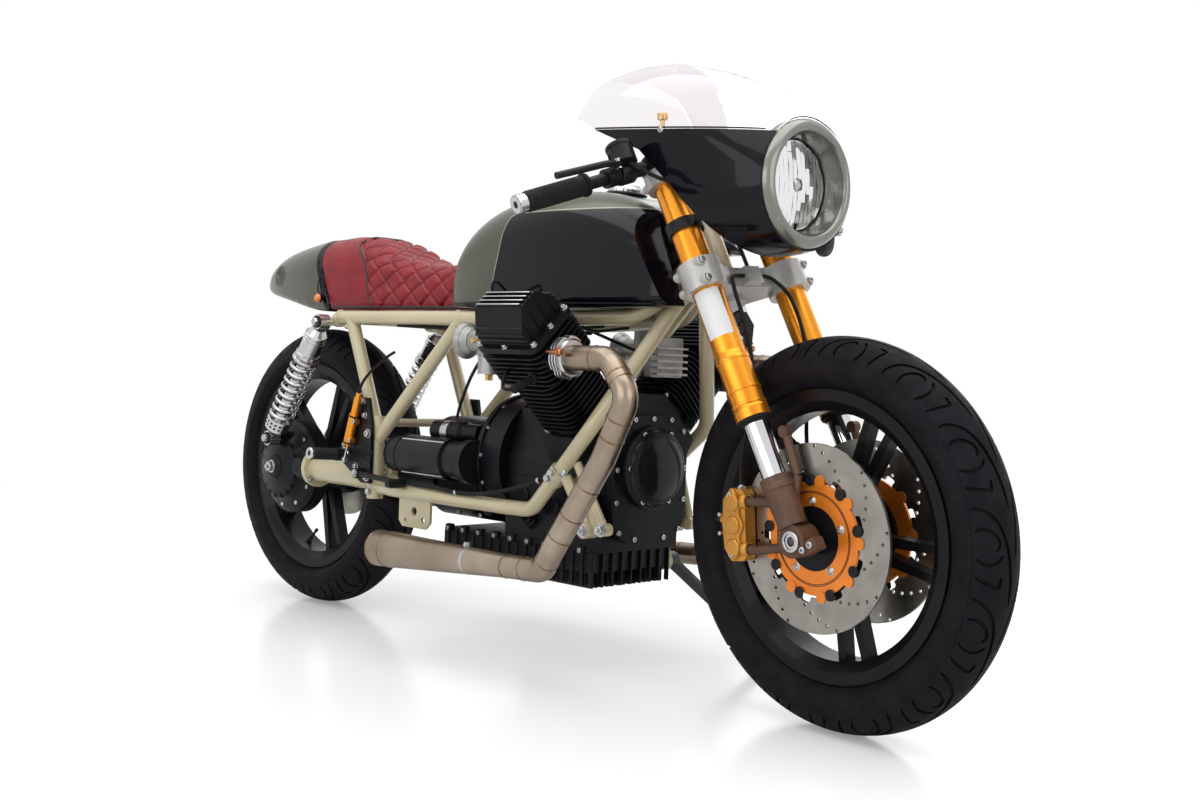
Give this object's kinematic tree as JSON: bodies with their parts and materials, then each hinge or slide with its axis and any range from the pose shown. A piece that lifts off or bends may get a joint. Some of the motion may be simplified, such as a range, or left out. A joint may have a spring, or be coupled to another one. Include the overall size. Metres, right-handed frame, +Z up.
{
  "type": "cafe racer motorcycle",
  "caption": "Cafe racer motorcycle with a transverse V-twin, half fairing, clip-on bars, quilted red seat and low megaphone exhausts, leaning on its side stand.",
  "frame": {"origin": "on the floor, below the middle of the bounding box", "axes": "+X forward, +Y to the rider's left, +Z up; the motorcycle leans about 4.5 degrees to its left onto the side stand, with the steering turned 6 degrees to the right"},
  "size_m": [2.131, 0.8476, 1.1383],
  "materials": {
    "black_metal": "satin",
    "black_rubber": "matte",
    "black_wheel": "satin",
    "bronze_paint": "satin",
    "cast_aluminium": "satin",
    "chrome": "polished",
    "clear_screen": "polished",
    "cream_paint": "gloss",
    "dark_grey": "satin",
    "disc_steel": "brushed",
    "engine_black": "satin",
    "gloss_black": "gloss",
    "gold_anodised": "satin",
    "gold_caliper": "gloss",
    "grey_green": "satin",
    "grey_yoke": "satin",
    "lamp_glass": "polished",
    "orange_anodised": "satin",
    "polished_aluminium": "polished",
    "red_leather": "satin",
    "silver_steel": "brushed",
    "stainless": "brushed",
    "tyre_rubber": "matte"
  },
  "bodies": {
    "chassis": {"alternator_cover": "engine_black", "carburettor_left": "cast_aluminium", "carburettor_right": "cast_aluminium", "cradle_left": "cream_paint", "cradle_right": "cream_paint", "crankcase": "engine_black", "cylinder_left": "engine_black", "cylinder_right": "engine_black", "engine_lugs": "cream_paint", "exhaust_left": "stainless", "exhaust_right": "stainless", "filler_cap": "silver_steel", "final_drive": "engine_black", "foot_levers": "black_metal", "fuel_tank": "gloss_black", "gearbox": "engine_black", "main_frame": "cream_paint", "rear_axle": "silver_steel", "rear_master": "gold_anodised", "rearsets": "black_metal", "regulator": "silver_steel", "rocker_cover_left": "engine_black", "rocker_cover_right": "engine_black", "seat_pad": "red_leather", "shock_left": "polished_aluminium", "shock_right": "polished_aluminium", "shock_springs": "silver_steel", "starter_motor": "black_metal", "swingarm": "cream_paint", "tail_cowl": "grey_green"},
    "steering": {"bar_end_mirror": "black_metal", "brake_calipers": "gold_caliper", "brake_hoses": "black_rubber", "clip_on_bars": "black_metal", "fairing": "gloss_black", "fork_bottoms": "bronze_paint", "fork_stanchions": "chrome", "fork_tubes": "gold_anodised", "front_axle": "silver_steel", "grips": "black_rubber", "hand_levers": "black_metal", "headlight": "lamp_glass", "instruments": "black_metal", "lamp_brackets": "black_metal", "lower_yoke": "grey_yoke", "upper_yoke": "grey_yoke", "windscreen": "clear_screen"},
    "front_wheel": {"disc_carriers": "orange_anodised", "front_discs": "disc_steel", "front_rim": "black_wheel", "front_tyre": "tyre_rubber"},
    "rear_wheel": {"rear_disc": "disc_steel", "rear_rim": "black_wheel", "rear_tyre": "tyre_rubber"},
    "side_stand": {"side_stand": "dark_grey"}
  },
  "joints": [
    {"name": "steering", "type": "hinge", "parent": "chassis", "child": "steering", "pos_m": [0.45606, -0.0336, 0.74137], "axis": [-0.4697, 0.0693, 0.8801], "range_deg": [-21, 33]},
    {"name": "front_wheel_spin", "type": "hinge", "parent": "steering", "child": "front_wheel", "pos_m": [0.7392, -0.07195, 0.32738], "axis": [0.0923, 0.9953, -0.0291], "continuous": true},
    {"name": "rear_wheel_spin", "type": "hinge", "parent": "chassis", "child": "rear_wheel", "pos_m": [-0.74054, -0.06643, 0.3242], "axis": [0, 0.9969, -0.0785], "continuous": true},
    {"name": "side_stand_fold", "type": "hinge", "parent": "chassis", "child": "side_stand", "pos_m": [0.24949, 0.05241, 0.20276], "axis": [0, 0.9969, -0.0785], "range_deg": [0, 105]}
  ]
}
